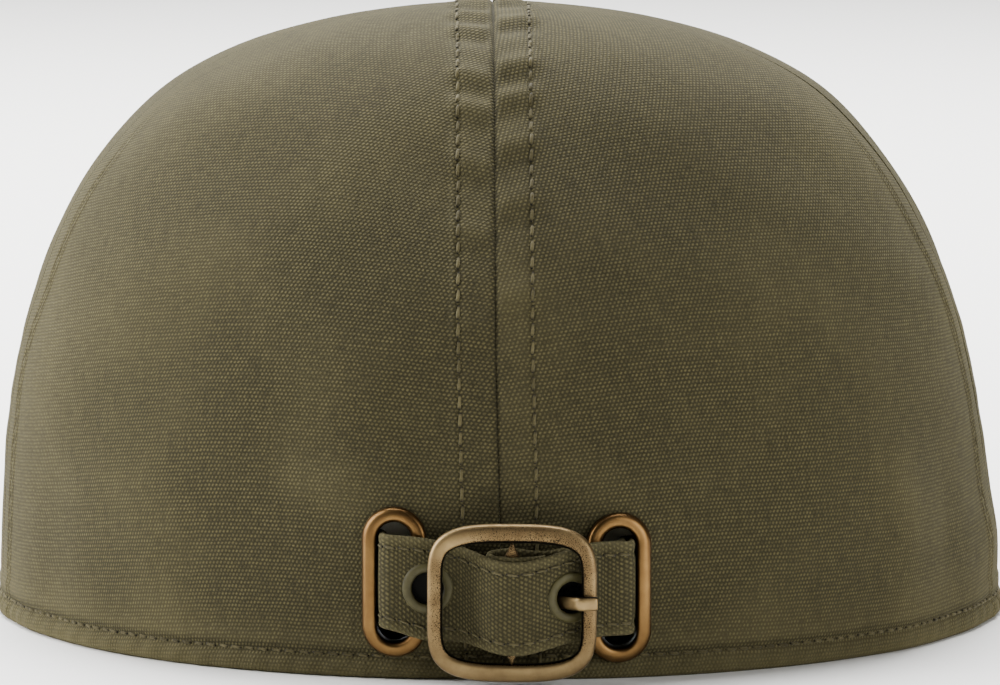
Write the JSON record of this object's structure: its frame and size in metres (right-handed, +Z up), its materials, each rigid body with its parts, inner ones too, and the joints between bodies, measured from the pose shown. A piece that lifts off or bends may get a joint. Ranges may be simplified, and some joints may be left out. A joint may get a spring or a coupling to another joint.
{
  "type": "peaked cap",
  "caption": "Soft canvas cap with a rounded crown, a stiff peak, and a buckled adjusting strap at the back that threads through oblong brass eyelets.",
  "frame": {"origin": "middle of the cap's footprint, on the surface that it rests on", "axes": "+Y towards the back of the cap and its buckle, -Y towards the peak, +X towards the wearer's left, +Z up"},
  "size_m": [0.1798, 0.2694, 0.1107],
  "materials": {
    "canvas": "plain weave cotton canvas, olive",
    "strap_canvas": "the same canvas, folded and stitched",
    "brass": "satin, coppery antique",
    "aged_brass": "antique, speckled dark",
    "eyelet_paint": "olive grey, semi-matte"
  },
  "bodies": {
    "root": {"back_panel_left": "canvas", "back_panel_right": "canvas", "front_panel": "canvas", "peak": "canvas", "slot_ring_left": "brass", "slot_ring_right": "brass", "strap_long": "strap_canvas", "strap_short": "strap_canvas", "strap_eyelet_left": "eyelet_paint", "strap_eyelet_right": "eyelet_paint", "buckle_frame": "aged_brass", "buckle_tongue": "aged_brass"}
  },
  "joints": []
}
